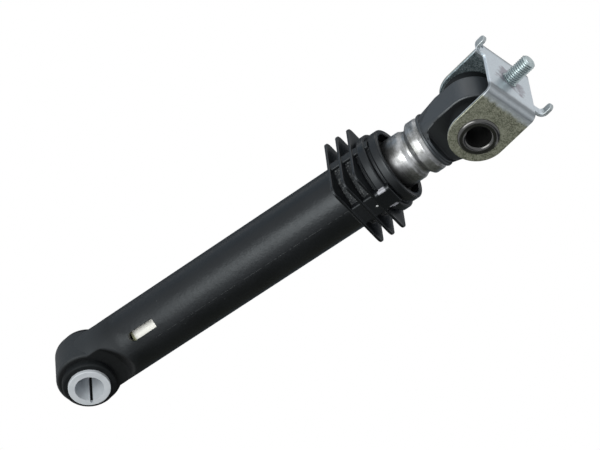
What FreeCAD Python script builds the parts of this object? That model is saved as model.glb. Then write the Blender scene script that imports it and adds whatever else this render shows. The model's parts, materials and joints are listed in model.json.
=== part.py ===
import FreeCAD, Part
import math
import os
from FreeCAD import Vector

# Friction damper of a washing machine, in millimetres.
# Origin: centre of the lower eye. +Z runs up the damper to the bracket, the eye's bore lies along Y.

# Fits
seat_fit = 0.03            # radial gap of a piece pushed into its seat
running_fit = 0.06         # radial gap of a piece that slides or turns
end_gap = 0.3              # gap between faces that turn past each other

# Steel rod
rod_radius = 13.15
rod_wall = 1.2
rod_groove_depth = 1.25
rod_groove_flat = 1.4
rod_groove_slope = 2.3
rod_bead_stand = 1.2
rod_bead_height = 4.5
rod_lip_height = 2.3
rod_lip_inset = 0.9
rod_roll_fillet = 1.0
rod_reach = 45.7           # from the collar's mouth to the upper pivot, as photographed
rod_end_drop = 25.2        # from the upper pivot down to the rod's rolled end

# Lower eye, from its bore outwards
eye_bore_radius = 7.5
eye_liner_wall = 3.35
eye_liner_half_length = 16.9
liner_edge_round = 0.4
liner_slit_width = 1.5
liner_groove_depth = 1.9   # the slit's depth at the liner's ends
liner_slit_inset = 2.2     # from the liner's ends to where the slit goes right through
liner_slit_angle = -31.0
liner_proud = 2.0          # the liner's end beyond the bush
eye_bush_wall = 2.15
bush_shoulder = 0.8        # a bush's rim stands this far out of its seat
bush_round = 1.2
eye_hub_wall = 3.6
eye_hub_half_width = 10.3
eye_edge_round = 1.6
eye_scoop_margin = 4.0     # the cylinder's sides are scooped this far outside the hub
eye_scoop_slope = 1.0
eye_scoop_round = 2.0

# Cylinder moulded on the lower eye
bore_gap = 0.65            # between the rod and the cylinder's bore
tube_wall = 2.5
tube_draft = 0.003         # radius gained per millimetre of height
tube_length = 187.0        # from the eye's centre to the open end
floor_wall = 4.4           # between the hub and the floor of the bore
floor_radius = 8.2
slot_rise = 12.6           # from the floor of the bore to the window's round end
slot_length = 16.0
slot_width = 5.0
slot_angle = 234.0

# Friction unit in the cylinder's open end
lining_thickness = 1.9
lining_gap = 1.0           # where the ends of the lining strip meet
guide_height = 6.0
unit_height = 32.0

# Finned collar over the open end
collar_grip = 18.8         # length of the sleeve on the cylinder
collar_wall = 1.4
collar_lip = 3.0           # inner lip that covers the cylinder's end
collar_lip_gap = 0.5
recess_gap = 3.6           # between the rod and the mouth's wall
recess_depth = 7.5
rim_wall = 2.8
rim_height = 5.15
mouth_round = 1.1          # both edges of the rim's mouth
neck_depth = 1.25          # groove between the bead and the rim
neck_height = 1.6
bead_stand = 2.7           # bead below the rim, out of the sleeve
bead_height = 4.6
collar_round = 1.0
fin_count = 3
fin_pitch = 6.8
fin_stand = 3.0            # middle of a fin's side, out of the sleeve
fin_corner = 4.2
fin_tip = 1.4
fin_root = 2.4
pad_half_width = 6.0
pad_setback = 0.8
pad_round = 0.9
lug_round = 2.0            # upright edges of the lugs above the fins
rib_half_width = 2.6
rib_setback = 0.9
wiper_height = 2.5

# Piston at the rod's inner end
closing_travel = 9.7       # left before the piston meets the floor
stop_gap = 1.5
nose_gap = 2.9             # between the nose and the bore
nose_length = 21.3
nose_round = 2.5
head_height = 12.0
head_gap = 0.4             # between the head and the bore
ring_height = 5.0
ring_depth = 1.8
ring_slit = 1.2
plug_length = 14.0
buffer_height = 4.0
buffer_gap = 0.2           # between the stop buffer and the bore

# Rod end with the upper eye, from its pivot outwards
pivot_radius = 9.6
pivot_wall = 3.4
pivot_flare = 1.1
pivot_flare_height = 1.4
pivot_flare_round = 1.0
upper_bush_wall = 3.4
boss_wall = 3.9
boss_half_width = 8.3
boss_edge_round = 1.2
end_scoop_rise = 1.3       # from the flange to the flats' lower end
end_scoop_round = 7.0
end_flange_stand = 0.35    # out of the rod's bead
end_flange_height = 1.6
end_neck_inset = 0.45      # neck inside the rod's bead
end_neck_flare = 6.5       # radius gained up to the pivot
end_plug_length = 24.0

# Bracket of folded sheet with its stud
sheet = 2.0
bracket_width = 38.7       # over the outer faces of the two ears
ear_width = 30.2
web_height = 25.6          # from the pivot to the web's outer face
bend_radius = 4.4          # outside of the bend
bracket_lean = -11.3       # as photographed, from the rod's line
tab_width = 4.6
tab_out = 6.6
tab_rise = 6.4
tab_bend = 4.0             # outside of the bend
tab_inset = 2.2            # from the ear's bend to the tab's side
tab_round = 2.2
stud_radius = 4.0
stud_length = 14.5         # beyond the web's outer face
stud_neck_stand = 0.4      # neck pressed into the web, out of the shank
stud_chamfer = 1.0
stud_head_radius = 5.6
stud_head_height = 1.0

# Places that follow from the sizes
rod_groove_radius = rod_radius - rod_groove_depth
rod_bead_radius = rod_radius + rod_bead_stand
bore_radius = rod_radius + bore_gap
tube_radius = bore_radius + tube_wall
seat_radius = rod_radius + lining_thickness
eye_liner_radius = eye_bore_radius + eye_liner_wall
eye_bush_half_length = eye_liner_half_length - liner_proud
eye_seat_radius = eye_liner_radius + eye_bush_wall
eye_hub_radius = eye_seat_radius + eye_hub_wall
floor_z = eye_hub_radius + floor_wall
unit_z = tube_length - unit_height
collar_z = tube_length - collar_grip
lip_top_z = tube_length + collar_lip
mouth_z = lip_top_z + recess_depth
recess_radius = rod_radius + recess_gap
pivot_z = mouth_z + rod_reach
rod_top_z = pivot_z - rod_end_drop
nose_z = floor_z + closing_travel + stop_gap
head_z = nose_z + nose_length
rod_low_z = head_z + head_height
pivot_bore_radius = pivot_radius - pivot_wall
boss_seat_radius = pivot_radius + upper_bush_wall
boss_radius = boss_seat_radius + boss_wall
ear_inner = bracket_width / 2 - sheet
stud_neck_radius = stud_radius + stud_neck_stand

axis_x = Vector(1, 0, 0)
axis_y = Vector(0, 1, 0)
axis_z = Vector(0, 0, 1)


def tube_outer(z):
    return tube_radius + tube_draft * z


def turned(points):
    """Solid of revolution about Z from (radius, height) points."""
    corners = [Vector(radius, 0, height) for radius, height in points]
    outline = Part.makePolygon(corners + corners[:1])
    return Part.Face(outline).revolve(Vector(), axis_z, 360)


def ring(inner, outer, low, high):
    return turned([(inner, low), (outer, low), (outer, high), (inner, high)])


def laid_along_y(shape, height=0):
    """A shape made about Z, laid about the Y line at the given height."""
    laid = shape.rotated(Vector(), axis_x, -90)
    return laid.translated(Vector(0, 0, height))


def circles_at(shape, radius, height):
    """Round edges of a turned shape at one radius and height."""
    found = []
    for edge in shape.Edges:
        middle = edge.BoundBox.Center
        if not hasattr(edge.Curve, "Radius"):
            continue
        if abs(edge.Curve.Radius - radius) < 1e-4 and abs(middle.z - height) < 1e-4:
            found.append(edge)
    return found


def rounded(shape, radius, rims):
    """Fillets on the round edges given as (radius, height)."""
    edges = []
    for rim in rims:
        edges += circles_at(shape, *rim)
    return shape.makeFillet(radius, edges)


def cut_through_wall(shape, width, low, high, angle):
    """Opens a turned shape along one side by a slit of the given width."""
    reach = shape.BoundBox.DiagonalLength
    slit = Part.makeBox(reach, width, high - low, Vector(0, -width / 2, low))
    return shape.cut(slit.rotated(Vector(), axis_z, angle))


def eye_hub(radius, half_width, edge_round):
    hub = Part.makeCylinder(radius, 2 * half_width, Vector(0, 0, -half_width))
    hub = rounded(hub, edge_round, [(radius, -half_width), (radius, half_width)])
    return laid_along_y(hub)


def eye_scoops(radius, half_width, slope):
    """Conical clearances about the eye's line, outside both faces of its hub."""
    depth = 2 * radius
    scoop = Part.makeCone(radius, radius + slope * depth, depth, Vector(0, 0, half_width))
    both = scoop.fuse(scoop.mirror(Vector(), axis_z))
    return laid_along_y(both)


def softened_scoops(body, radius, half_width):
    """Rounds the scoops' edges on the cylinder's skin and their corners on the hub's faces."""
    found = []
    for edge in body.Edges:
        box = edge.BoundBox
        outside = min(abs(box.YMin), abs(box.YMax)) > half_width - 1e-4 and box.YMin * box.YMax > 0
        on_skin = outside and box.YLength > 1e-3
        at_root = outside and abs(getattr(edge.Curve, "Radius", 0) - radius) < 1e-4
        if on_skin or at_root:
            found.append(edge)
    return body.makeFillet(eye_scoop_round, found)


def eye_seat(radius, half_width, height):
    seat = Part.makeCylinder(radius, 4 * half_width, Vector(0, 0, -2 * half_width))
    return laid_along_y(seat, height)


def shouldered_bush(inner, seat, hub_half_width, half_length):
    """Rubber bush with a rim on each side of its hub, made about Z."""
    rim = seat + bush_shoulder
    waist = hub_half_width + seat_fit
    body = turned([
        (inner, -half_length), (rim, -half_length), (rim, -waist), (seat - seat_fit, -waist),
        (seat - seat_fit, waist), (rim, waist), (rim, half_length), (inner, half_length)])
    return rounded(body, bush_round, [(rim, -half_length), (rim, half_length)])


def cylinder_tube():
    skin = turned([
        (0, 0), (tube_outer(0), 0), (tube_outer(tube_length), tube_length), (0, tube_length)])
    body = skin.fuse(eye_hub(eye_hub_radius, eye_hub_half_width, eye_edge_round))
    scoop_radius = eye_hub_radius + eye_scoop_margin
    body = body.cut(eye_scoops(scoop_radius, eye_hub_half_width, eye_scoop_slope)).removeSplitter()
    body = softened_scoops(body, scoop_radius, eye_hub_half_width)
    floor_cone = bore_radius - floor_radius
    hollow = turned([
        (0, floor_z), (floor_radius, floor_z), (bore_radius, floor_z + floor_cone),
        (bore_radius, unit_z), (seat_radius, unit_z), (seat_radius, tube_length), (0, tube_length)])
    body = body.cut(hollow).cut(eye_seat(eye_seat_radius, eye_hub_half_width, 0))
    return body.cut(tube_window())


def tube_window():
    """Window in the cylinder's side, round at the eye end and square at the other."""
    low = floor_z + slot_rise + slot_width / 2
    high = floor_z + slot_rise + slot_length
    square = Part.makeBox(2 * tube_radius, slot_width, high - low, Vector(0, -slot_width / 2, low))
    end = Part.makeCylinder(slot_width / 2, 2 * tube_radius, Vector(0, 0, low), axis_x)
    return square.fuse(end).rotated(Vector(), axis_z, slot_angle)


def eye_liner():
    half = eye_liner_half_length
    liner = ring(eye_bore_radius, eye_liner_radius, -half, half)
    rims = [(eye_liner_radius, -half), (eye_liner_radius, half)]
    liner = rounded(liner, liner_edge_round, rims)
    depth = eye_bore_radius + liner_groove_depth
    groove = Part.makeBox(depth, liner_slit_width, 2 * half, Vector(0, -liner_slit_width / 2, -half))
    liner = liner.cut(groove.rotated(Vector(), axis_z, -liner_slit_angle))
    slit_end = half - liner_slit_inset
    liner = cut_through_wall(liner, liner_slit_width, -slit_end, slit_end, -liner_slit_angle)
    return laid_along_y(liner)


def eye_bush():
    inner = eye_liner_radius + seat_fit
    bush = shouldered_bush(inner, eye_seat_radius, eye_hub_half_width, eye_bush_half_length)
    return laid_along_y(bush)


def square_wire(half_side, corner, height):
    """Square with round corners, level at the given height."""
    flat = half_side - corner
    slant = corner * math.sqrt(0.5)
    edges = []
    for turn in range(4):
        start = Vector(half_side, -flat, height)
        stop = Vector(half_side, flat, height)
        middle = Vector(flat + slant, flat + slant, height)
        after = Vector(flat, half_side, height)
        pair = [Part.makeLine(start, stop), Part.Arc(stop, middle, after).toShape()]
        edges += [edge.rotated(Vector(), axis_z, 90 * turn) for edge in pair]
    return Part.Wire(edges)


def collar_fin(height, sleeve_radius):
    """Thin square plate, thicker at the sleeve than at its edge."""
    tip = fin_tip / 2
    root = fin_root / 2
    half_side = sleeve_radius + fin_stand
    plate = Part.Face(square_wire(half_side, fin_corner, -tip)).extrude(Vector(0, 0, fin_tip))
    edge_wire = square_wire(half_side, fin_corner, tip)
    root_wire = square_wire(sleeve_radius, fin_corner, root)
    upper = Part.makeLoft([edge_wire, root_wire], True, True)
    lower = upper.mirror(Vector(), axis_z)
    return plate.fuse([upper, lower]).translated(Vector(0, 0, height))


def upright_block(depth, half_width, low, high, edge_round):
    """Block from the axis out to the given depth along X, its two outer upright edges round."""
    block = Part.makeBox(depth, 2 * half_width, high - low, Vector(0, -half_width, low))
    outer_edges = [
        edge for edge in block.Edges
        if edge.BoundBox.ZLength > 1e-4 and edge.BoundBox.XMin > depth / 2]
    return block.makeFillet(edge_round, outer_edges)


def collar_blocks(sleeve_radius, lug_z, top_z):
    """Broad pads with lugs above them in front and behind, narrow ribs left and right."""
    reach = sleeve_radius + fin_stand
    pad = upright_block(reach - pad_setback, pad_half_width, collar_z, lug_z, pad_round)
    lug = upright_block(reach, pad_half_width, lug_z, top_z, lug_round)
    rib = upright_block(reach - rib_setback, rib_half_width, collar_z, top_z, pad_round)
    blocks = []
    for block, turn in ((pad, 90), (lug, 90), (rib, 0)):
        blocks.append(block.rotated(Vector(), axis_z, turn))
        blocks.append(block.rotated(Vector(), axis_z, turn + 180))
    return blocks


def finned_collar():
    sleeve_radius = tube_outer(tube_length) + collar_wall
    bead_radius = sleeve_radius + bead_stand
    rim_radius = recess_radius + rim_wall
    rim_z = mouth_z - rim_height
    neck_z = rim_z - neck_height
    bead_z = neck_z - bead_height
    neck_radius = rim_radius - neck_depth
    body = turned([
        (0, collar_z), (sleeve_radius, collar_z), (sleeve_radius, bead_z), (bead_radius, bead_z),
        (bead_radius, neck_z), (neck_radius, neck_z), (neck_radius, rim_z), (rim_radius, rim_z),
        (rim_radius, mouth_z), (0, mouth_z)])
    body = rounded(body, collar_round, [
        (bead_radius, bead_z), (bead_radius, neck_z), (rim_radius, rim_z)])
    body = rounded(body, mouth_round, [(rim_radius, mouth_z)])
    first_fin = collar_z + fin_root / 2
    added = [collar_fin(first_fin + fin_pitch * index, sleeve_radius) for index in range(fin_count)]
    lug_z = first_fin + fin_pitch * (fin_count - 1)
    added += collar_blocks(sleeve_radius, lug_z, rim_z)
    body = body.fuse(added)
    inside = turned([
        (0, collar_z - fin_root), (tube_outer(collar_z) + seat_fit, collar_z - fin_root),
        (tube_outer(collar_z) + seat_fit, collar_z),
        (tube_outer(tube_length) + seat_fit, tube_length), (rod_radius + collar_lip_gap, tube_length),
        (rod_radius + collar_lip_gap, lip_top_z), (recess_radius, lip_top_z),
        (recess_radius, mouth_z + collar_round), (0, mouth_z + collar_round)])
    return rounded(body.cut(inside).removeSplitter(), mouth_round, [(recess_radius, mouth_z)])


def guide_ring(low):
    return ring(rod_radius + running_fit, seat_radius - seat_fit, low, low + guide_height)


def friction_lining():
    low = unit_z + guide_height
    high = tube_length - guide_height
    strip = ring(rod_radius + running_fit, seat_radius - seat_fit, low, high)
    return cut_through_wall(strip, lining_gap, low, high, 0)


def wiper_ring():
    return ring(rod_radius + running_fit, recess_radius - seat_fit, lip_top_z, lip_top_z + wiper_height)


def rod_outline(offset):
    """Rod's profile from its low end to its rolled end, moved inwards by the offset."""
    lip_z = rod_top_z - rod_lip_height
    bead_z = lip_z - rod_bead_height
    groove_high = bead_z - rod_groove_slope
    groove_low = groove_high - rod_groove_flat
    shoulder_z = groove_low - rod_groove_slope
    heights = [rod_low_z, shoulder_z, groove_low, groove_high, bead_z, lip_z, rod_top_z]
    radii = [rod_radius, rod_radius, rod_groove_radius, rod_groove_radius, rod_bead_radius,
             rod_bead_radius, rod_bead_radius - rod_lip_inset]
    return [(radius - offset, height) for radius, height in zip(radii, heights)]


def rolled_solid(offset):
    outline = rod_outline(offset)
    body = turned([(0, rod_low_z)] + outline + [(0, rod_top_z)])
    return rounded(body, rod_roll_fillet, outline[1:-1])


def rod_tube():
    return rolled_solid(0).cut(rolled_solid(rod_wall))


def piston_plug():
    """Moulded piston: nose, head with a ring groove, and the plug in the rod."""
    nose_radius = bore_radius - nose_gap
    head_radius = bore_radius - head_gap
    plug_radius = rod_radius - rod_wall - seat_fit
    groove_radius = bore_radius - ring_depth - running_fit
    groove_z = head_z + (head_height - ring_height) / 2
    body = turned([
        (0, nose_z), (nose_radius, nose_z), (nose_radius, head_z), (head_radius, head_z),
        (head_radius, groove_z), (groove_radius, groove_z), (groove_radius, groove_z + ring_height),
        (head_radius, groove_z + ring_height), (head_radius, rod_low_z), (plug_radius, rod_low_z),
        (plug_radius, rod_low_z + plug_length), (0, rod_low_z + plug_length)])
    return rounded(body, nose_round, [(nose_radius, nose_z)])


def piston_ring():
    outer = bore_radius - running_fit
    low = head_z + (head_height - ring_height) / 2 + running_fit
    high = low + ring_height - 2 * running_fit
    band = ring(outer - ring_depth + running_fit, outer, low, high)
    return cut_through_wall(band, ring_slit, low, high, 0)


def stop_buffer():
    return ring(rod_radius + seat_fit, bore_radius - buffer_gap, rod_low_z, rod_low_z + buffer_height)


def boss_outline(neck_radius, low_z):
    """Face in the XZ plane: the boss's circle with straight sides down to the neck."""
    drop = pivot_z - low_z
    reach = math.hypot(neck_radius, drop)
    tangent = math.acos(boss_radius / reach) - math.atan2(drop, neck_radius)
    side = boss_radius * math.cos(tangent)
    side_z = pivot_z + boss_radius * math.sin(tangent)
    foot_right = Vector(neck_radius, 0, low_z)
    foot_left = Vector(-neck_radius, 0, low_z)
    right = Vector(side, 0, side_z)
    left = Vector(-side, 0, side_z)
    crown = Vector(0, 0, pivot_z + boss_radius)
    edges = [Part.makeLine(foot_left, foot_right), Part.makeLine(foot_right, right),
             Part.Arc(right, crown, left).toShape(), Part.makeLine(left, foot_left)]
    return Part.Face(Part.Wire(edges))


def slab(outline, half_width):
    """Plate of the outline's shape, as thick on both sides of the XZ plane."""
    return outline.extrude(Vector(0, 2 * half_width, 0)).translated(Vector(0, -half_width, 0))


def boss_blade(outline, low_z):
    """Flat blade and boss with round edges all along the outline."""
    blade = slab(outline, boss_half_width)
    rims = [
        edge for edge in blade.Edges
        if edge.BoundBox.YLength < 1e-4 and edge.BoundBox.ZMax > low_z + 1e-4]
    return blade.makeFillet(boss_edge_round, rims)


def end_scoops(neck_radius, flange_top, wide):
    """Clearances outside both flats, with round lower corners that run out along the neck's flare."""
    low = flange_top + end_scoop_rise
    low_radius = neck_radius + end_neck_flare * end_scoop_rise / (pivot_z - flange_top)
    low_chord = math.sqrt(low_radius ** 2 - boss_half_width ** 2)
    corners = [Vector(x, boss_half_width, z) for x, z in (
        (-low_chord, low), (low_chord, low), (wide, pivot_z), (-wide, pivot_z))]
    prism = Part.Face(Part.makePolygon(corners + corners[:1])).extrude(Vector(0, wide, 0))
    lower_edges = [
        edge for edge in prism.Edges
        if edge.BoundBox.YLength > wide / 2 and edge.BoundBox.ZMax < low + 1e-4]
    prism = prism.makeFillet(end_scoop_round, lower_edges)
    return prism.fuse(prism.mirror(Vector(), axis_y))


def rod_end_fitting():
    neck_radius = rod_bead_radius - end_neck_inset
    flange_top = rod_top_z + end_flange_height
    crown_z = pivot_z + boss_radius
    wide = neck_radius + end_neck_flare
    outline = boss_outline(neck_radius, flange_top)
    flare = turned([
        (0, flange_top), (neck_radius, flange_top), (wide, pivot_z), (wide, crown_z), (0, crown_z)])
    blade = boss_blade(outline, flange_top).common(flare)
    neck_top = flange_top + end_scoop_rise + end_scoop_round
    neck = flare.common(ring(0, wide, flange_top, neck_top)).common(slab(outline, wide))
    neck = neck.cut(end_scoops(neck_radius, flange_top, wide))
    body = blade.fuse(neck).cut(eye_seat(boss_seat_radius, boss_half_width, pivot_z))
    flange = ring(0, rod_bead_radius + end_flange_stand, rod_top_z, flange_top)
    plug_band = ring(0, rod_bead_radius, rod_top_z - end_plug_length, rod_top_z)
    plug = rolled_solid(rod_wall + seat_fit).common(plug_band)
    return body.fuse([flange, plug]).removeSplitter()


def upper_bush():
    inner = pivot_radius + running_fit
    bush = shouldered_bush(inner, boss_seat_radius, boss_half_width, ear_inner - end_gap)
    return laid_along_y(bush, pivot_z)


def leaned(shape):
    """Turns a bracket piece, made upright about the origin, to its place on the pivot."""
    turned_shape = shape.rotated(Vector(), axis_y, bracket_lean)
    return turned_shape.translated(Vector(0, 0, pivot_z))


def bend_edges(strip, x, z):
    """Edges across the tab's strip at one x and z."""
    found = []
    for edge in strip.Edges:
        box = edge.BoundBox
        across = box.XLength < 1e-4 and box.ZLength < 1e-4
        if across and abs(box.XMin - x) < 1e-4 and abs(box.ZMin - z) < 1e-4:
            found.append(edge)
    return found


def channel_core(width, height, radius):
    """Block whose two upper long edges are round, for one side of the folded sheet."""
    reach = ear_width / 2
    block = Part.makeBox(ear_width, width, height + reach, Vector(-reach, -width / 2, -reach))
    bends = [
        edge for edge in block.Edges
        if edge.BoundBox.XLength > ear_width / 2 and edge.BoundBox.ZMin > height - 1e-4]
    return block.makeFillet(radius, bends)


def bracket_tab():
    """Strip that leaves the web's edge and turns up beside the stud, rounded at its tip."""
    edge_x = ear_width / 2
    far_x = edge_x + tab_out
    low = web_height - sheet
    top = web_height + tab_rise
    corners = [(edge_x - sheet, low), (far_x, low), (far_x, top), (far_x - sheet, top),
               (far_x - sheet, web_height), (edge_x - sheet, web_height)]
    side = ear_inner - (bend_radius - sheet) - tab_inset
    points = [Vector(x, side - tab_width, z) for x, z in corners]
    strip = Part.Face(Part.makePolygon(points + points[:1])).extrude(Vector(0, tab_width, 0))
    strip = strip.makeFillet(tab_bend, bend_edges(strip, far_x, low))
    strip = strip.makeFillet(tab_bend - sheet, bend_edges(strip, far_x - sheet, web_height))
    tip_edges = [
        edge for edge in strip.Edges
        if edge.BoundBox.ZMin > top - 1e-4 and edge.BoundBox.YLength < 1e-4]
    return strip.makeFillet(tab_round, tip_edges)


def bracket():
    folded = channel_core(bracket_width, web_height, bend_radius)
    folded = folded.cut(channel_core(bracket_width - 2 * sheet, web_height - sheet, bend_radius - sheet))
    half = ear_width / 2
    upright = Part.makeBox(ear_width, bracket_width, web_height, Vector(-half, -bracket_width / 2, 0))
    ear_ends = laid_along_y(Part.makeCylinder(half, bracket_width, Vector(0, 0, -bracket_width / 2)))
    folded = folded.common(upright.fuse(ear_ends))
    rear_tab = bracket_tab().mirror(Vector(), axis_x)
    front_tab = rear_tab.rotated(Vector(), axis_z, 180)
    folded = folded.fuse([rear_tab, front_tab])
    pivot_hole = Part.makeCylinder(pivot_radius + seat_fit, bracket_width, Vector(0, 0, -bracket_width / 2))
    stud_hole = Part.makeCylinder(stud_neck_radius + seat_fit, web_height)
    return leaned(folded.cut(laid_along_y(pivot_hole)).cut(stud_hole).removeSplitter())


def pivot_sleeve():
    """Hollow rivet through both ears, its ends rolled outwards."""
    face = bracket_width / 2
    end = face + pivot_flare_height
    flare = pivot_radius + pivot_flare
    body = turned([
        (pivot_bore_radius, -end), (flare, -end), (flare, -face), (pivot_radius, -face),
        (pivot_radius, face), (flare, face), (flare, end), (pivot_bore_radius, end)])
    body = rounded(body, pivot_flare_round, [
        (flare, -end), (flare, end), (pivot_bore_radius, -end), (pivot_bore_radius, end)])
    return leaned(laid_along_y(body))


def stud():
    low = web_height - sheet
    top = web_height + stud_length
    body = turned([
        (0, low - stud_head_height), (stud_head_radius, low - stud_head_height), (stud_head_radius, low),
        (stud_neck_radius, low), (stud_neck_radius, web_height), (stud_radius, web_height),
        (stud_radius, top - stud_chamfer), (stud_radius - stud_chamfer, top), (0, top)])
    return leaned(body)


pieces = {
    "cylinder_tube": cylinder_tube(),
    "eye_rubber_bush": eye_bush(),
    "eye_liner_sleeve": eye_liner(),
    "finned_collar": finned_collar(),
    "inner_guide_ring": guide_ring(unit_z),
    "friction_lining": friction_lining(),
    "outer_guide_ring": guide_ring(tube_length - guide_height),
    "wiper_ring": wiper_ring(),
    "piston_ring": piston_ring(),
    "piston_plug": piston_plug(),
    "stop_buffer": stop_buffer(),
    "rod_tube": rod_tube(),
    "rod_end_fitting": rod_end_fitting(),
    "upper_rubber_bush": upper_bush(),
    "pivot_sleeve": pivot_sleeve(),
    "bracket": bracket(),
    "stud": stud(),
}

os.makedirs("parts", exist_ok=True)
for name, shape in pieces.items():
    shape.exportStep("parts/" + name + ".step")
    print(name, "valid" if shape.isValid() else "NOT VALID", len(shape.Solids), round(shape.Volume, 1))
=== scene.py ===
import json
import math

import bmesh
import bpy
from mathutils import Euler, Matrix, Vector
from mathutils.bvhtree import BVHTree


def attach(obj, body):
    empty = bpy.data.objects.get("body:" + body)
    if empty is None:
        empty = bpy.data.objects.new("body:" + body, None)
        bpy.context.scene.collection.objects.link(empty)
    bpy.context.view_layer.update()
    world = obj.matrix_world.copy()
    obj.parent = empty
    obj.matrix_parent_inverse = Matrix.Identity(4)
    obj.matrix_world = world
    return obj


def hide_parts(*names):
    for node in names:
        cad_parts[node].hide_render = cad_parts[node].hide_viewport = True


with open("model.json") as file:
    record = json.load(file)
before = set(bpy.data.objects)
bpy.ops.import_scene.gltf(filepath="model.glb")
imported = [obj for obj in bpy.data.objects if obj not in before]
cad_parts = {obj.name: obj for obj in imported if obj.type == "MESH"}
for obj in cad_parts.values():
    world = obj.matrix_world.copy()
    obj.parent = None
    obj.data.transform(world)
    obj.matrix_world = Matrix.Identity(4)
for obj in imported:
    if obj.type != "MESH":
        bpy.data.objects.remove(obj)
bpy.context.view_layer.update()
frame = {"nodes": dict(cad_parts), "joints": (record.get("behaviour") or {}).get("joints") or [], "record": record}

record = frame["record"]
cadNodes = frame["nodes"]
bodyOfNode = {node: body for body, members in record["behaviour"]["bodies"].items() for node in members}
slotOfNode = {row["node"]: row["material_slot"] for row in record["subparts"]}
jointByName = {joint["name"]: joint for joint in frame["joints"]}
mountByName = {mount["name"]: mount for mount in record["mounts"]}
pivotPoint = Vector(jointByName["bracket_swing"]["pos_m"])
studAxis = Vector(mountByName["stud"]["axis"])
print("frame loaded:", len(cadNodes), "nodes")


# small helpers for node trees

def newMaterial(name):
    material = bpy.data.materials.new(name)
    material.use_nodes = True
    tree = material.node_tree
    return material, tree, tree.nodes["Principled BSDF"]


def addNode(tree, kind, sockets=None, **settings):
    made = tree.nodes.new(kind)
    for key, value in settings.items():
        setattr(made, key, value)
    for key, value in (sockets or {}).items():
        if isinstance(value, bpy.types.NodeSocket):
            tree.links.new(value, made.inputs[key])
        else:
            made.inputs[key].default_value = value
    return made


def math2(tree, operation, first, second=0.0):
    return addNode(tree, "ShaderNodeMath", {0: first, 1: second}, operation=operation).outputs[0]


def timesPlus(tree, first, second, third):
    return addNode(tree, "ShaderNodeMath", {0: first, 1: second, 2: third}, operation="MULTIPLY_ADD").outputs[0]


def vectorMath(tree, operation, first, second=(0, 0, 0)):
    made = addNode(tree, "ShaderNodeVectorMath", {0: first, 1: second}, operation=operation)
    return made.outputs["Value" if operation in ("LENGTH", "DISTANCE", "DOT_PRODUCT") else "Vector"]


def axes(tree, point):
    return addNode(tree, "ShaderNodeSeparateXYZ", {0: point}).outputs


def fade(tree, value, start, end, low=0.0, high=1.0):
    # goes from low to high while the value goes from start to end
    sockets = {"Value": value, "From Min": start, "From Max": end, "To Min": low, "To Max": high}
    return addNode(tree, "ShaderNodeMapRange", sockets).outputs["Result"]


def objectPoint(tree):
    return addNode(tree, "ShaderNodeTexCoord").outputs["Object"]


def stretched(tree, point, scale):
    return addNode(tree, "ShaderNodeMapping", {"Vector": point, "Scale": scale}).outputs["Vector"]


def noise(tree, point, scale, detail=3.0, rough=0.55):
    sockets = {"Vector": point, "Scale": scale, "Detail": detail, "Roughness": rough}
    return addNode(tree, "ShaderNodeTexNoise", sockets).outputs[0]


def wandering(tree, value, point, spread, scale, detail=3.0, rough=0.55):
    # the value moved to and fro by a noise, for an uneven edge
    drift = math2(tree, "SUBTRACT", noise(tree, point, scale, detail, rough), 0.5)
    return timesPlus(tree, drift, spread, value)


def ramp(tree, value, *stops):
    made = addNode(tree, "ShaderNodeValToRGB", {"Fac": value})
    elements = made.color_ramp.elements
    while len(elements) < len(stops):
        elements.new(0.5)
    for element, (place, shade) in zip(elements, stops):
        element.position = place
        element.color = (*shade, 1)
    return made.outputs["Color"]


def stepRamp(tree, value, stops):
    # grey shades at places along the value
    first, last = stops[0][0], stops[-1][0]
    share = fade(tree, value, first, last)
    return ramp(tree, share, *(((place - first) / (last - first), grey(shade)) for place, shade in stops))


def grey(level):
    return (level, level, level)


def greyRamp(tree, value, levels, low=0.3, high=0.7):
    return ramp(tree, value, (low, grey(levels[0])), (high, grey(levels[1])))


def mixColour(tree, share, first, second):
    made = addNode(tree, "ShaderNodeMix", data_type="RGBA")
    for index, value in ((0, share), (6, first), (7, second)):
        if isinstance(value, bpy.types.NodeSocket):
            tree.links.new(value, made.inputs[index])
        else:
            made.inputs[index].default_value = value if index == 0 else (*value, 1)
    return made.outputs[2]


def multiplied(tree, first, second):
    made = addNode(tree, "ShaderNodeMix", {0: 1.0, 6: first, 7: second}, data_type="RGBA", blend_type="MULTIPLY")
    return made.outputs[2]


def bumped(tree, height, strength, distance, below=None):
    made = addNode(tree, "ShaderNodeBump", {"Height": height, "Strength": strength, "Distance": distance})
    if below is not None:
        tree.links.new(below, made.inputs["Normal"])
    return made.outputs["Normal"]


def wire(tree, output, shader, name):
    tree.links.new(output, shader.inputs[name])


# finishes; lengths in metres, noise scales per metre

blackPlastic = {
    "dark": (0.0030, 0.0035, 0.0043), "pale": (0.0056, 0.0064, 0.0077), "cloudScale": 38,
    "grainScale": 2600, "grainShare": 0.35, "grainDepth": 0.00004,
    "smooth": 0.40, "rough": 0.50, "gloss": 0.33, "glossTint": (0.86, 0.94, 1.0),
    "speckScale": 210, "speckSize": 0.055, "speckAbove": 0.72, "speck": (0.05, 0.052, 0.055),
}


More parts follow.
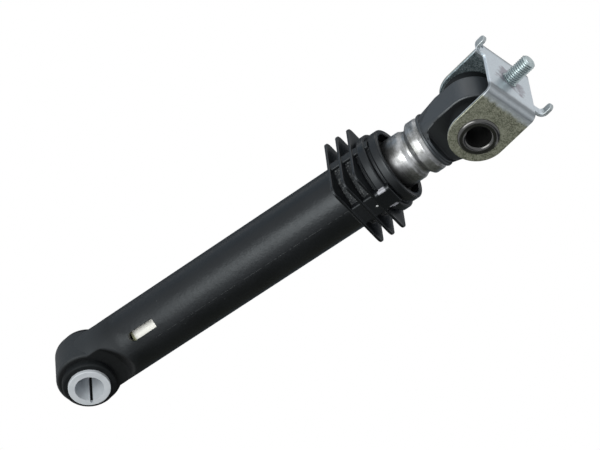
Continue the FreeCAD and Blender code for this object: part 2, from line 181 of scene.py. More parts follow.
def blackMoulding(name, part=blackPlastic, extra=None):
    material, tree, shader = newMaterial(name)
    point = objectPoint(tree)
    cloud = noise(tree, point, part["cloudScale"], 4)
    grain = noise(tree, point, part["grainScale"], 2)
    colour = ramp(tree, cloud, (0.3, part["dark"]), (0.72, part["pale"]))
    # a few pale nicks from handling
    cells = addNode(tree, "ShaderNodeTexVoronoi", {"Vector": point, "Scale": part["speckScale"]})
    pick = addNode(tree, "ShaderNodeSeparateColor", {0: cells.outputs["Color"]}).outputs[0]
    few = math2(tree, "GREATER_THAN", pick, part["speckAbove"])
    nick = math2(tree, "MULTIPLY", math2(tree, "LESS_THAN", cells.outputs["Distance"], part["speckSize"]), few)
    colour = mixColour(tree, nick, colour, part["speck"])
    rough = fade(tree, cloud, 0.3, 0.7, part["smooth"], part["rough"])
    normal = bumped(tree, grain, part["grainShare"], part["grainDepth"])
    if extra:
        colour, rough, normal = extra(tree, point, colour, rough, normal)
    wire(tree, colour, shader, "Base Color")
    wire(tree, rough, shader, "Roughness")
    wire(tree, normal, shader, "Normal")
    shader.inputs["Specular IOR Level"].default_value = part["gloss"]
    shader.inputs["Specular Tint"].default_value = (*part["glossTint"], 1)
    return material


rodEndPlastic = {**blackPlastic, "gloss": 0.7, "dark": (0.0105, 0.0130, 0.0160), "pale": (0.0170, 0.0207, 0.0250)}
# painted shade on the blade's flats, darker than the rest of the rod end
bladeFlatsPaintedShade = {"face": 0.0083, "fade": 0.0006, "beyond": 0.003, "shade": (0.0022, 0.0027, 0.0033)}


def rodEndPaintedShade(tree, point, colour, rough, normal):
    # the blade's flats beside the neck, under the ears, get a painted shade
    aside = math2(tree, "ABSOLUTE", axes(tree, point)[1])
    face, soft, beyond = bladeFlatsPaintedShade["face"], bladeFlatsPaintedShade["fade"], bladeFlatsPaintedShade["beyond"]
    onFlat = fade(tree, aside, face - soft, face - soft / 4)
    offNeck = fade(tree, aside, face + beyond, face + beyond / 3)
    flat = math2(tree, "MULTIPLY", onFlat, offNeck)
    return mixColour(tree, flat, colour, bladeFlatsPaintedShade["shade"]), rough, normal


tubeFinish = {
    "mattBelow": 0.026, "mattClear": 0.036, "matt": 0.62, "polishFrom": 0.05, "polishTo": 0.17, "polish": 0.13,
    # painted light on the hub, painted shade in the scoops beside it
    "hubFull": 0.012, "hubClear": 0.024, "hub": (0.017, 0.0195, 0.022),
    "scoopFace": 0.0103, "scoopPaintedShade": (0.0009, 0.0010, 0.0012),
    "scoopDeep": (0.0006, 0.0001), "scoopPast": (0.001, 0.0002),       # inside the face, outside the wall
    "waveScale": 420, "waveShare": 0.4, "waveDepth": 0.0004,
}


def tubeZones(tree, point, colour, rough, normal):
    # duller round the eye, where the mould was textured, and smoother towards the collar
    _, across, height = axes(tree, point)
    near = fade(tree, height, tubeFinish["mattClear"], tubeFinish["mattBelow"])
    polish = fade(tree, height, tubeFinish["polishFrom"], tubeFinish["polishTo"], 0.0, tubeFinish["polish"])
    smooth = math2(tree, "SUBTRACT", rough, polish)
    matt = math2(tree, "MAXIMUM", smooth, math2(tree, "MULTIPLY", near, tubeFinish["matt"]))
    # painted light makes the hub greyer and painted shade keeps the scoops beside it dark; their walls lean out at
    # 45 degrees
    hub = fade(tree, height, tubeFinish["hubClear"], tubeFinish["hubFull"])
    aside = math2(tree, "ABSOLUTE", across)
    fromEye = vectorMath(tree, "LENGTH", vectorMath(tree, "MULTIPLY", point, (1, 0, 1)))
    face = tubeFinish["scoopFace"]
    within = fade(tree, math2(tree, "SUBTRACT", fromEye, aside), *(face + gap for gap in tubeFinish["scoopPast"]))
    deep = fade(tree, aside, *(face - gap for gap in tubeFinish["scoopDeep"]))
    colour = mixColour(tree, hub, colour, tubeFinish["hub"])
    colour = mixColour(tree, math2(tree, "MULTIPLY", within, deep), colour, tubeFinish["scoopPaintedShade"])
    waves = noise(tree, point, tubeFinish["waveScale"], 4, 0.65)       # the skin is never quite even
    return colour, matt, bumped(tree, waves, tubeFinish["waveShare"], tubeFinish["waveDepth"], normal)


collarTexture = {
    "within": 0.0188, "scale": 800, "depth": 0.0003, "shade": (0.13, 0.137, 0.14),
    "specks": (0.54, 0.62), "speckShare": 0.8,
    "wornFrom": 0.0204, "wornTo": 0.0207, "worn": 0.27, "rimFrom": 0.1958, "rimTo": 0.1966,
    # the lugs' pale colour is a painted highlight on their round corners
    "lugAcross": 0.0043, "lugSoft": 0.0006, "lugOut": 0.0199, "lugFrom": 0.1843, "lug": (0.36, 0.37, 0.41),
    "lugLow": 0.1854, "lugHigh": 0.1904, "lugFade": 0.0007,
    "paleSpot": (0.0006, -0.02046, 0.1809), "paleSpotSize": 0.00058, "paleSpotShade": (0.55, 0.57, 0.58),
    "paleSpotSpread": 0.0012, "paleSpotScale": 900,
}


def collarZones(tree, point, colour, rough, normal):
    # coarse spark-eroded texture on the sleeve between the fins, rubbed edges further out
    part = collarTexture
    flat = vectorMath(tree, "MULTIPLY", point, (1, 1, 0))
    height = axes(tree, point)[2]
    inside = math2(tree, "MULTIPLY", math2(tree, "LESS_THAN", vectorMath(tree, "LENGTH", flat), part["within"]),
                   math2(tree, "LESS_THAN", height, part["lugFrom"]))
    lift = math2(tree, "MULTIPLY", noise(tree, point, part["scale"], 3, 0.7), inside)
    shade = mixColour(tree, fade(tree, lift, *part["specks"], 0.0, part["speckShare"]), colour, part["shade"])
    sideX, sideY, _ = axes(tree, vectorMath(tree, "ABSOLUTE", flat))
    rubbed = math2(tree, "MAXIMUM",
                   fade(tree, math2(tree, "MAXIMUM", sideX, sideY), part["wornFrom"], part["wornTo"]),
                   fade(tree, height, part["rimFrom"], part["rimTo"]))
    shiny = timesPlus(tree, math2(tree, "SUBTRACT", part["worn"], rough), rubbed, rough)
    # the lugs' round corners get a pale painted highlight, and the front pad has one small pale spot
    rise = fade(tree, height, part["lugLow"], part["lugLow"] + part["lugFade"])
    fall = fade(tree, height, part["lugHigh"], part["lugHigh"] - part["lugFade"])
    across = fade(tree, sideX, part["lugAcross"], part["lugAcross"] + part["lugSoft"])
    corner = math2(tree, "MULTIPLY", across, math2(tree, "GREATER_THAN", sideY, part["lugOut"]))
    corner = math2(tree, "MULTIPLY", corner, math2(tree, "MULTIPLY", rise, fall))
    shade = mixColour(tree, corner, shade, part["lug"])
    fromPaleSpot = vectorMath(tree, "DISTANCE", point, part["paleSpot"])
    ragged = wandering(tree, fromPaleSpot, point, part["paleSpotSpread"], part["paleSpotScale"], 2)
    shade = mixColour(tree, math2(tree, "LESS_THAN", ragged, part["paleSpotSize"]), shade, part["paleSpotShade"])
    return shade, shiny, bumped(tree, lift, 0.5, part["depth"], normal)


rubberFinish = {
    "dark": (0.0030, 0.0036, 0.0041), "pale": (0.0062, 0.0072, 0.0078), "scale": 420, "rough": (0.52, 0.7),
    "grain": 3000, "grainShare": 0.4, "grainDepth": 0.00005, "gloss": 0.17, "glossTint": (0.86, 0.94, 1.0),
}


def dullRubber(name):
    material, tree, shader = newMaterial(name)
    point = objectPoint(tree)
    cloud = noise(tree, point, rubberFinish["scale"], 4)
    grain = noise(tree, point, rubberFinish["grain"], 2)
    wire(tree, ramp(tree, cloud, (0.35, rubberFinish["dark"]), (0.7, rubberFinish["pale"])), shader, "Base Color")
    wire(tree, greyRamp(tree, cloud, rubberFinish["rough"]), shader, "Roughness")
    wire(tree, bumped(tree, grain, rubberFinish["grainShare"], rubberFinish["grainDepth"]), shader, "Normal")
    shader.inputs["Specular IOR Level"].default_value = rubberFinish["gloss"]
    shader.inputs["Specular Tint"].default_value = (*rubberFinish["glossTint"], 1)
    return material


linerNylon = {"pale": (0.56, 0.60, 0.645), "shade": (0.48, 0.52, 0.56), "scale": 160, "grain": 1800,
              "grainShare": 0.25, "grainDepth": 0.00004, "rough": (0.34, 0.46)}
# the nose's rounded end gets a painted olive shade
pistonNylon = {**linerNylon, "pale": (0.93, 0.94, 0.91), "shade": (0.87, 0.88, 0.84), "scale": 120, "grain": 1500,
               "noseShade": (0.45, 0.47, 0.31), "noseShadeTop": 0.0350, "noseShadeFade": 0.0005}


def whiteNylon(name, finish=pistonNylon):
    material, tree, shader = newMaterial(name)
    point = objectPoint(tree)
    cloud = noise(tree, point, finish["scale"], 3)
    grain = noise(tree, point, finish["grain"], 2)
    colour = ramp(tree, cloud, (0.3, finish["shade"]), (0.75, finish["pale"]))
    if "noseShade" in finish:       # painted olive shade on the nose's rounded end
        darkening = fade(tree, axes(tree, point)[2], finish["noseShadeTop"], finish["noseShadeTop"] - finish["noseShadeFade"])
        colour = mixColour(tree, darkening, colour, finish["noseShade"])
    wire(tree, colour, shader, "Base Color")
    wire(tree, greyRamp(tree, cloud, finish["rough"]), shader, "Roughness")
    wire(tree, bumped(tree, grain, finish["grainShare"], finish["grainDepth"]), shader, "Normal")
    return material


steelFinish = {
    "pale": (0.46, 0.475, 0.495), "dull": (0.15, 0.155, 0.152), "rough": (0.44, 0.32),
    "patchScale": 130, "patchStretch": (1, 1, 1.5), "lineStretch": (30, 30, 5200), "lineShare": 0.35,
    "lineDepth": 0.00003, "dentScale": 420, "dentDepth": 0.0002,
    "greaseAndReflectionBand": ((0.190, 1.0), (0.1935, 0.5), (0.1985, 0.32), (0.2015, 0.5), (0.2045, 1.0)),       # darker at the wiper: partly grease, partly a painted reflection of the collar's rim
    "calmBelow": 0.186, "calmTo": 0.198, "calm": 0.3,       # the part that slides is rubbed even
}


def drawnSteel(name):
    material, tree, shader = newMaterial(name)
    point = objectPoint(tree)
    lines = noise(tree, stretched(tree, point, steelFinish["lineStretch"]), 1.0, 3)
    patch = noise(tree, stretched(tree, point, steelFinish["patchStretch"]), steelFinish["patchScale"], 5, 0.65)
    height = axes(tree, point)[2]
    share = fade(tree, height, steelFinish["calmBelow"], steelFinish["calmTo"], steelFinish["calm"])
    patch = timesPlus(tree, math2(tree, "SUBTRACT", patch, 0.5), share, 0.5)
    streaky = timesPlus(tree, math2(tree, "SUBTRACT", lines, 0.5), steelFinish["lineShare"], patch)
    bare = ramp(tree, streaky, (0.36, steelFinish["dull"]), (0.66, steelFinish["pale"]))
    # darker band at the wiper: grease plus a painted reflection of the collar's rim
    darkening = stepRamp(tree, height, steelFinish["greaseAndReflectionBand"])
    wire(tree, multiplied(tree, bare, darkening), shader, "Base Color")
    wire(tree, greyRamp(tree, patch, steelFinish["rough"]), shader, "Roughness")
    dents = bumped(tree, noise(tree, point, steelFinish["dentScale"], 3), 0.35, steelFinish["dentDepth"])
    wire(tree, bumped(tree, lines, 0.3, steelFinish["lineDepth"], dents), shader, "Normal")
    shader.inputs["Metallic"].default_value = 1.0
    return material


zincFinish = {
    "earPale": (0.36, 0.375, 0.30), "earDark": (0.125, 0.135, 0.10),
    "webPale": (0.60, 0.66, 0.71), "webDark": (0.52, 0.58, 0.63),
    "innerPale": (0.30, 0.37, 0.40), "innerDark": (0.10, 0.135, 0.15),
    "earFrom": 0.0178, "earTo": 0.0188, "earTop": 0.0182, "earFade": 0.0024, "innerFrom": 0.0168,
    "earSpread": 0.0045, "earScale": 380,
    # painted reflection stripes along the bend, by height less side distance: place in metres and shade
    "paintedBendStripes": ((-0.001, 0.85), (0.0004, 0.95), (0.003, 0.42), (0.0056, 0.58), (0.0078, 0.34), (0.0098, 0.40),
                (0.0116, 0.92), (0.013, 1.0)),
    "stripeSpread": 0.0018, "stripeScale": 260,
    # the tabs' colour is a painted shade of the web's zinc
    "tabFrom": 0.0260, "tabTo": 0.0266, "tab": (0.62, 0.62, 0.60),
    "tint": (0.27, 0.26, 0.30), "tintFrom": 0.0048, "tintTo": 0.0088, "tintShare": 0.85,
    "tintSpread": 0.022, "tintScale": 190, "webFrom": 0.0225,
    "spangle": 2400, "spangleShare": 0.4, "cloudScale": 330, "rough": (0.33, 0.43), "metal": 0.72,
}


def galvanised(name):
    part = zincFinish
    material, tree, shader = newMaterial(name)
    point = objectPoint(tree)
    cells = addNode(tree, "ShaderNodeTexVoronoi", {"Vector": point, "Scale": part["spangle"]})
    speck = addNode(tree, "ShaderNodeSeparateColor", {0: cells.outputs["Color"]}).outputs[0]
    cloud = math2(tree, "MULTIPLY", noise(tree, point, part["cloudScale"], 5, 0.65), 1 - part["spangleShare"])
    mixed = timesPlus(tree, speck, part["spangleShare"], cloud)
    web = ramp(tree, mixed, (0.25, part["webDark"]), (0.7, part["webPale"]))
    # the ears' olive colour is passivation tint plus painted shade; the inner faces' darker blue is painted shade
    earTintAndShade = ramp(tree, mixed, (0.3, part["earDark"]), (0.66, part["earPale"]))
    innerPaintedShade = ramp(tree, mixed, (0.42, part["innerDark"]), (0.66, part["innerPale"]))
    fromPivot = vectorMath(tree, "SUBTRACT", point, pivotPoint)
    fromStud = vectorMath(tree, "LENGTH", vectorMath(tree, "CROSS_PRODUCT", fromPivot, studAxis))
    along = vectorMath(tree, "DOT_PRODUCT", fromPivot, studAxis)
    sideways = math2(tree, "ABSOLUTE", axes(tree, point)[1])
    # the ears' outer faces are yellower from passivation and painted darker as shade; their inner faces get a
    # darker blue painted shade
    patchy = wandering(tree, along, point, part["earSpread"], part["earScale"], 4, 0.6)
    below = fade(tree, patchy, part["earTop"] + part["earFade"], part["earTop"])
    outside = fade(tree, sideways, part["earFrom"], part["earTo"])
    inside = math2(tree, "MULTIPLY", math2(tree, "GREATER_THAN", sideways, part["innerFrom"]),
                   math2(tree, "LESS_THAN", sideways, part["earFrom"]))
    # painted reflection stripes along the bend
    overBend = math2(tree, "SUBTRACT", along, sideways)
    wavy = wandering(tree, overBend, point, part["stripeSpread"], part["stripeScale"], 4, 0.6)
    web = multiplied(tree, web, stepRamp(tree, wavy, part["paintedBendStripes"]))
    onTab = fade(tree, along, part["tabFrom"], part["tabTo"])       # the tabs get a painted shade
    web = multiplied(tree, web, mixColour(tree, onTab, grey(1.0), part["tab"]))
    sheet = mixColour(tree, math2(tree, "MULTIPLY", inside, below), web, innerPaintedShade)
    sheet = mixColour(tree, math2(tree, "MULTIPLY", outside, below), sheet, earTintAndShade)
    # heat tint on the web, in patches close round the stud
    wander = wandering(tree, fromStud, point, part["tintSpread"], part["tintScale"], 2)
    close = fade(tree, wander, part["tintTo"], part["tintFrom"])
    onWeb = math2(tree, "GREATER_THAN", along, part["webFrom"])
    share = math2(tree, "MULTIPLY", math2(tree, "MULTIPLY", close, onWeb), part["tintShare"])
    wire(tree, mixColour(tree, share, sheet, part["tint"]), shader, "Base Color")
    wire(tree, greyRamp(tree, mixed, part["rough"], 0.2, 0.8), shader, "Roughness")
    wire(tree, bumped(tree, mixed, 0.12, 0.00005), shader, "Normal")
    shader.inputs["Metallic"].default_value = part["metal"]
    return material


studFinish = {"dark": (0.30, 0.36, 0.375), "pale": (0.44, 0.51, 0.52), "scale": 500, "rough": (0.38, 0.28),
              "metal": 0.9}


def brightZinc(name):
    material, tree, shader = newMaterial(name)
    cloud = noise(tree, objectPoint(tree), studFinish["scale"], 4)
    wire(tree, ramp(tree, cloud, (0.3, studFinish["dark"]), (0.7, studFinish["pale"])), shader, "Base Color")
    wire(tree, greyRamp(tree, cloud, studFinish["rough"]), shader, "Roughness")
    shader.inputs["Metallic"].default_value = studFinish["metal"]
    return material


blackenedFinish = {
    "dark": (0.0018, 0.0022, 0.0022), "pale": (0.0045, 0.0052, 0.005), "scale": 420, "polish": (0.14, 0.22),
    "gloss": 1.0, "bore": 0.0067, "boreDepth": 0.0192, "boreRough": 0.65, "borePaintedShadeMetal": 0.75,
}


def blackenedSteel(name):
    part = blackenedFinish
    material, tree, shader = newMaterial(name)
    point = objectPoint(tree)
    cloud = noise(tree, point, part["scale"], 4)
    wire(tree, ramp(tree, cloud, (0.3, part["dark"]), (0.7, part["pale"])), shader, "Base Color")
    # rolled ends are burnished; the bore is dull, and made metallic over its near-black colour so it reflects
    # less, as painted shade inside the hole
    fromPivot = vectorMath(tree, "SUBTRACT", point, pivotPoint)
    radius = vectorMath(tree, "LENGTH", vectorMath(tree, "MULTIPLY", fromPivot, (1, 0, 1)))
    depth = math2(tree, "ABSOLUTE", axes(tree, fromPivot)[1])
    inBore = math2(tree, "MULTIPLY", math2(tree, "LESS_THAN", radius, part["bore"]),
                   math2(tree, "LESS_THAN", depth, part["boreDepth"]))
    polish = fade(tree, cloud, 0.3, 0.7, *part["polish"])
    matt = math2(tree, "MULTIPLY", inBore, part["boreRough"])
    wire(tree, math2(tree, "MAXIMUM", polish, matt), shader, "Roughness")
    # metallic over near-black colour darkens the bore, as painted shade
    wire(tree, math2(tree, "MULTIPLY", inBore, part["borePaintedShadeMetal"]), shader, "Metallic")
    shader.inputs["Specular IOR Level"].default_value = part["gloss"]
    return material


fibreFinish = {"stretch": (1800, 1800, 700), "rough": (0.8, 0.95), "share": 0.6, "depth": 0.0002}


def fibrous(name, dark, pale):
    material, tree, shader = newMaterial(name)
    fibre = noise(tree, stretched(tree, objectPoint(tree), fibreFinish["stretch"]), 1.0, 4)
    wire(tree, ramp(tree, fibre, (0.3, dark), (0.7, pale)), shader, "Base Color")
    wire(tree, greyRamp(tree, fibre, fibreFinish["rough"]), shader, "Roughness")
    wire(tree, bumped(tree, fibre, fibreFinish["share"], fibreFinish["depth"]), shader, "Normal")
    return material


materials = {
    "cylinder_tube": blackMoulding("tubeMoulding", extra=tubeZones),
    "finned_collar": blackMoulding("collarMoulding", extra=collarZones),
    "rod_end_fitting": blackMoulding("rodEndMoulding", rodEndPlastic, rodEndPaintedShade),
    "eye_rubber_bush": dullRubber("eyeRubber"),
    "upper_rubber_bush": dullRubber("pivotRubber"),
    "stop_buffer": dullRubber("bufferRubber"),
    "eye_liner_sleeve": whiteNylon("linerNylon", linerNylon),
    "piston_plug": whiteNylon("pistonNylon"),
    "piston_ring": whiteNylon("ringNylon"),
    "inner_guide_ring": whiteNylon("guideNylon"),
    "outer_guide_ring": whiteNylon("guideNylonOuter"),
    "friction_lining": fibrous("liningFoam", (0.12, 0.1, 0.07), (0.22, 0.19, 0.15)),
    "wiper_ring": fibrous("wiperFelt", (0.008, 0.008, 0.008), (0.025, 0.025, 0.024)),
    "rod_tube": drawnSteel("rodSteel"),
    "bracket": galvanised("bracketZinc"),
    "stud": brightZinc("studZinc"),
    "pivot_sleeve": blackenedSteel("sleeveSteel"),
}
for nodeName, material in materials.items():
    cadNodes[nodeName].data.materials.clear()
    cadNodes[nodeName].data.materials.append(material)
print("finishes made:", len(materials))


# pieces that are finer than the solids

def finished(piece, body, slot, *nodes):
    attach(piece, body)
    if nodes:
        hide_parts(*nodes)


def plainMesh(holder):
    # turns whatever the modifiers make into the object's own mesh
    shape = bpy.data.meshes.new_from_object(holder.evaluated_get(bpy.context.evaluated_depsgraph_get()))
    holder.modifiers.clear()
    holder.data = shape
    return shape


def linked(name, mesh):
    holder = bpy.data.objects.new(name, mesh)
    bpy.context.collection.objects.link(holder)
    return holder


roundedEdges = {
    # CAD node: new piece, edge round in metres, steps in the round
    "bracket": {"piece": "bracketSheet", "round": 0.0004, "steps": 3},
    "finned_collar": {"piece": "collarFins", "round": 0.0003, "steps": 2},
    "rod_end_fitting": {"piece": "rodEndBlade", "round": 0.0004, "steps": 2},
}
meshLimits = {"weld": 2e-6, "skin": 1e-6, "flat": math.radians(0.5), "sharp": math.radians(30)}


def roundedCopy(nodeName, edges):
    mesh = cadNodes[nodeName].data.copy()
    shell = bmesh.new()
    shell.from_mesh(mesh)
    bmesh.ops.remove_doubles(shell, verts=shell.verts, dist=meshLimits["weld"])
    bmesh.ops.dissolve_limit(shell, angle_limit=meshLimits["flat"], verts=shell.verts[:], edges=shell.edges[:])
    shell.to_mesh(mesh)
    shell.free()
    if "custom_normal" in mesh.attributes:
        mesh.attributes.remove(mesh.attributes["custom_normal"])
    mesh.shade_smooth()
    mesh.set_sharp_from_angle(angle=meshLimits["sharp"])
    piece = linked(edges["piece"], mesh)
    bevel = piece.modifiers.new("edgeRound", "BEVEL")
    bevel.width = edges["round"]
    bevel.segments = edges["steps"]
    bevel.limit_method = "ANGLE"
    bevel.angle_limit = meshLimits["sharp"]
    bevel.use_clamp_overlap = False
    even = piece.modifiers.new("evenShading", "WEIGHTED_NORMAL")
    even.keep_sharp = True
    shape = plainMesh(piece)
    skin = BVHTree.FromPolygons([corner.co for corner in cadNodes[nodeName].data.vertices],
                                [face.vertices for face in cadNodes[nodeName].data.polygons])
    for corner in shape.vertices:       # none of the new corners stands outside the solid
        spot, outward, _, gap = skin.find_nearest(corner.co)
        if gap > meshLimits["skin"] and (corner.co - spot).dot(outward) > 0:
            corner.co = spot
    finished(piece, bodyOfNode[nodeName], slotOfNode[nodeName], nodeName)
    return piece


for nodeName, edges in roundedEdges.items():
    made = roundedCopy(nodeName, edges)
    print("rounded", made.name, len(made.data.polygons))


rolledSleeve = {
    # rivet turned about the pivot's line, its ends rolled over the ears
    "bore": 0.0062, "neck": 0.0096, "flare": 0.0105, "face": 0.01935, "rise": 0.0014,
    "rimSteps": 14, "around": 96,
}


def sleeveProfile(sleeve):
    middle = (sleeve["bore"] + sleeve["flare"]) / 2
    half = (sleeve["flare"] - sleeve["bore"]) / 2
    turns = [math.pi * step / sleeve["rimSteps"] for step in range(sleeve["rimSteps"] + 1)]
    rim = [(middle - half * math.cos(turn), sleeve["face"] + sleeve["rise"] * math.sin(turn)) for turn in turns]
    near = rim + [(sleeve["neck"], sleeve["face"])]
    far = [(radius, -depth) for radius, depth in reversed(near)]
    return near + far


def makeSleeve(sleeve):
    shell = bmesh.new()
    corners = [shell.verts.new((radius, depth, 0)) for radius, depth in sleeveProfile(sleeve)]
    edges = [shell.edges.new((corner, corners[index - 1])) for index, corner in enumerate(corners)]
    bmesh.ops.spin(shell, geom=corners + edges, cent=(0, 0, 0), axis=(0, 1, 0), angle=math.tau,
                   steps=sleeve["around"], use_merge=True)
    bmesh.ops.remove_doubles(shell, verts=shell.verts[:], dist=1e-6)
    bmesh.ops.recalc_face_normals(shell, faces=shell.faces[:])
    mesh = bpy.data.meshes.new("rolledSleeve")
    shell.to_mesh(mesh)
    shell.free()
    mesh.shade_smooth()
    mesh.set_sharp_from_angle(angle=math.radians(40))
    mesh.transform(Matrix.Translation(pivotPoint))
    mesh.materials.append(materials["pivot_sleeve"])
    piece = linked("rolledSleeve", mesh)
    finished(piece, bodyOfNode["pivot_sleeve"], slotOfNode["pivot_sleeve"], "pivot_sleeve")
    return piece


print("sleeve rolled:", len(makeSleeve(rolledSleeve).data.polygons))


studThread = {
    "Crest": 0.004, "Depth": 0.000767, "Pitch": 0.00125, "Length": 0.0145, "Chamfer": 0.001,
    "Around": 73, "Along": 279,
    "webFace": 0.0256,        # from the pivot along the stud
    "foot": ((0.0044, 0.0), (0.0044, -0.002), (0.0056, -0.002), (0.0056, -0.00275), (0.00535, -0.003)),
}


def threadTree(name):
    tree = bpy.data.node_groups.new(name, "GeometryNodeTree")
    tree.interface.new_socket("Geometry", in_out="OUTPUT", socket_type="NodeSocketGeometry")
    for label in ("Crest", "Depth", "Pitch", "Length", "Chamfer"):
        tree.interface.new_socket(label, in_out="INPUT", socket_type="NodeSocketFloat")
    for label in ("Around", "Along"):
        tree.interface.new_socket(label, in_out="INPUT", socket_type="NodeSocketInt")
    tree.interface.new_socket("Finish", in_out="INPUT", socket_type="NodeSocketMaterial")
    size = addNode(tree, "NodeGroupInput").outputs
    sheet = addNode(tree, "GeometryNodeMeshGrid", {
        "Size X": 1.0, "Size Y": 1.0, "Vertices X": size["Around"], "Vertices Y": size["Along"]})
    spot = axes(tree, addNode(tree, "GeometryNodeInputPosition").outputs[0])
    turn = math2(tree, "ADD", spot[0], 0.5)
    height = math2(tree, "MULTIPLY", math2(tree, "ADD", spot[1], 0.5), size["Length"])
    phase = math2(tree, "FRACT", math2(tree, "SUBTRACT", math2(tree, "DIVIDE", height, size["Pitch"]), turn))
    wave = math2(tree, "ABSOLUTE", math2(tree, "SUBTRACT", math2(tree, "MULTIPLY", phase, 2.0), 1.0))
    flank = fade(tree, wave, 0.25, 0.875, 1.0, 0.0)       # flat roots and narrow flat crests
    radius = math2(tree, "SUBTRACT", size["Crest"], math2(tree, "MULTIPLY", flank, size["Depth"]))
    fromTop = math2(tree, "SUBTRACT", size["Length"], height)
    endRadius = math2(tree, "SUBTRACT", size["Crest"], size["Chamfer"])
    radius = math2(tree, "MINIMUM", radius, math2(tree, "ADD", endRadius, fromTop))
    angle = math2(tree, "MULTIPLY", turn, math.tau)
    place = addNode(tree, "ShaderNodeCombineXYZ", {
        0: math2(tree, "MULTIPLY", radius, math2(tree, "COSINE", angle)),
        1: math2(tree, "MULTIPLY", radius, math2(tree, "SINE", angle)), 2: height})
    wound = addNode(tree, "GeometryNodeSetPosition", {"Geometry": sheet.outputs[0], "Position": place.outputs[0]})
    rim = addNode(tree, "GeometryNodeMeshCircle", {
        "Vertices": math2(tree, "SUBTRACT", size["Around"], 1.0), "Radius": endRadius}, fill_type="NGON")
    lift = addNode(tree, "ShaderNodeCombineXYZ", {2: size["Length"]})
    cap = addNode(tree, "GeometryNodeTransform", {"Geometry": rim.outputs[0], "Translation": lift.outputs[0]})
    both = addNode(tree, "GeometryNodeJoinGeometry", {0: wound.outputs[0]})
    tree.links.new(cap.outputs[0], both.inputs[0])
    closed = addNode(tree, "GeometryNodeMergeByDistance", {"Geometry": both.outputs[0], "Distance": 0.000002})
    real = addNode(tree, "GeometryNodeRealizeInstances", {"Geometry": closed.outputs[0]})
    dressed = addNode(tree, "GeometryNodeSetMaterial", {"Geometry": real.outputs[0], "Material": size["Finish"]})
    addNode(tree, "NodeGroupOutput", {0: dressed.outputs[0]})
    return tree


def grown(name, tree, values):
    holder = linked(name, bpy.data.meshes.new(name))
    modifier = holder.modifiers.new(name, "NODES")
    modifier.node_group = tree
    for item in tree.interface.items_tree:
        if item.in_out == "INPUT" and item.name in values:
            modifier[item.identifier] = values[item.name]
    plainMesh(holder)
    return holder


def addFoot(mesh, steps):
    # carries the open lower edge down through the web and out to the pressed head
    shell = bmesh.new()
    shell.from_mesh(mesh)
    edge = [line for line in shell.edges if line.is_boundary]
    for radius, height in steps:
        grownEdge = bmesh.ops.extrude_edge_only(shell, edges=edge)["geom"]
        for corner in (item for item in grownEdge if isinstance(item, bmesh.types.BMVert)):
            across = Vector((corner.co.x, corner.co.y, 0)).normalized() * radius
            corner.co = (across.x, across.y, height)
        edge = [item for item in grownEdge if isinstance(item, bmesh.types.BMEdge) and item.is_boundary]
    bmesh.ops.edgeloop_fill(shell, edges=edge)
    bmesh.ops.recalc_face_normals(shell, faces=shell.faces[:])
    shell.to_mesh(mesh)
    shell.free()


def makeStud():
    stud = grown("threadedStud", threadTree("studThreadTree"), {**studThread, "Finish": materials["stud"]})
    addFoot(stud.data, studThread["foot"])
    stud.data.materials.clear()
    stud.data.materials.append(materials["stud"])
    for face in stud.data.polygons:
        face.material_index = 0
    stud.data.shade_smooth()
    stud.data.set_sharp_from_angle(angle=math.radians(35))
    foot = Matrix.Translation(pivotPoint + studAxis * studThread["webFace"])
    stud.data.transform(foot @ studAxis.to_track_quat("Z", "Y").to_matrix().to_4x4())
    finished(stud, "bracket", "zinc_stud", "stud")
    return stud


print("stud threaded:", len(makeStud().data.polygons))


partingSeam = {
    # moulded line left along the cylinder where the two mould halves met
    "angles": (258.0, 78.0), "low": 0.046, "high": 0.166,
    "radiusLow": 0.016438, "radiusHigh": 0.016798,       # on the tapered skin
    "Beads": 90, "Width": 0.0001, "Bead": 0.0021, "Kept": 0.55, "Seed": 4,
    "least": (0.5, 0.5, 0.25), "most": (1.0, 1.0, 1.0),       # scale of a bead
}
seamPaintedHighlight = {**blackPlastic, "dark": (0.02, 0.022, 0.023), "pale": (0.075, 0.08, 0.082)}       # paler than the tube, a painted highlight along the seam
seamFinish = blackMoulding("seamMoulding", seamPaintedHighlight)


def seamTree(name):
    tree = bpy.data.node_groups.new(name, "GeometryNodeTree")
    tree.interface.new_socket("Geometry", in_out="OUTPUT", socket_type="NodeSocketGeometry")
    for label in ("Start", "End"):
        tree.interface.new_socket(label, in_out="INPUT", socket_type="NodeSocketVector")
    for label in ("Width", "Bead", "Kept"):
        tree.interface.new_socket(label, in_out="INPUT", socket_type="NodeSocketFloat")
    for label in ("Beads", "Seed"):
        tree.interface.new_socket(label, in_out="INPUT", socket_type="NodeSocketInt")
    tree.interface.new_socket("Finish", in_out="INPUT", socket_type="NodeSocketMaterial")
    size = addNode(tree, "NodeGroupInput").outputs
    row = addNode(tree, "GeometryNodeMeshLine", {
        "Count": size["Beads"], "Start Location": size["Start"], "Offset": size["End"]}, mode="END_POINTS")
    chance = addNode(tree, "FunctionNodeRandomValue", {"Probability": size["Kept"], "Seed": size["Seed"]},
                     data_type="BOOLEAN")
    uneven = addNode(tree, "FunctionNodeRandomValue", {
        "Min": partingSeam["least"], "Max": partingSeam["most"], "Seed": size["Seed"]}, data_type="FLOAT_VECTOR")
    bead = addNode(tree, "GeometryNodeMeshCylinder", {
        "Vertices": 8, "Side Segments": 1, "Radius": size["Width"], "Depth": size["Bead"]})
    placed = addNode(tree, "GeometryNodeInstanceOnPoints", {
        "Points": row.outputs[0], "Selection": chance.outputs[3], "Instance": bead.outputs[0],
        "Scale": uneven.outputs[0]})
    real = addNode(tree, "GeometryNodeRealizeInstances", {"Geometry": placed.outputs[0]})
    dressed = addNode(tree, "GeometryNodeSetMaterial", {"Geometry": real.outputs[0], "Material": size["Finish"]})
    addNode(tree, "NodeGroupOutput", {0: dressed.outputs[0]})
    return tree


